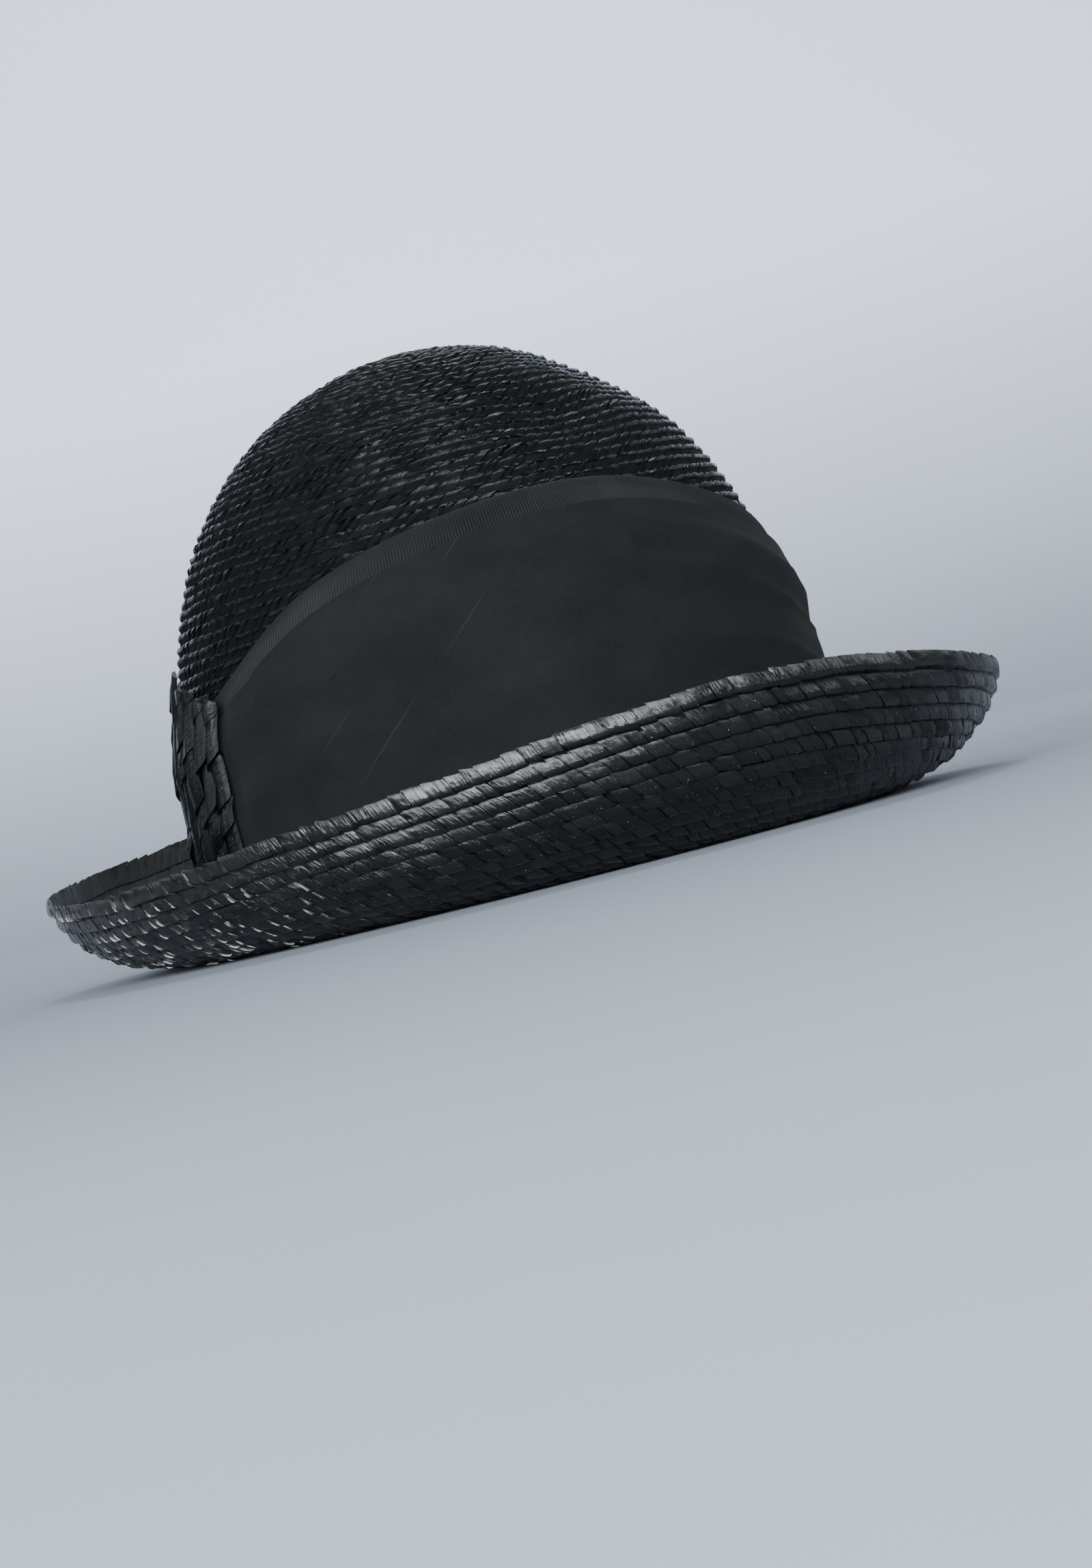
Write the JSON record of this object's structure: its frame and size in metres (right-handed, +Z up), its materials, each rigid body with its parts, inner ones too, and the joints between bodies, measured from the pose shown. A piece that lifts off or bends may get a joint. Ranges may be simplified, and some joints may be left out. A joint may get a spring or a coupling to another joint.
{
  "type": "straw hat",
  "caption": "Black braided straw hat with a rounded crown, a brim turned up all round, a wide draped cloth band, a ribbed ribbon edge and a straw side tab.",
  "frame": {"origin": "on the surface the hat stands on, under the middle of the brim's outline", "axes": "+Z up through the crown, the hat's front towards -Y and its wearer's right towards -X"},
  "size_m": [0.2638, 0.2782, 0.147],
  "materials": {
    "straw": "glossy black braided straw, sewn in overlapping rows",
    "band_cloth": "matte charcoal twill cut on the slant, softly draped",
    "ribbon": "black ribbed ribbon with a low sheen",
    "tab_straw": "glossy black braided straw in upright rows"
  },
  "bodies": {
    "root": {"crown": "straw", "brim": "straw", "band": "band_cloth", "ribbon": "ribbon", "side_tab": "tab_straw"}
  },
  "joints": []
}
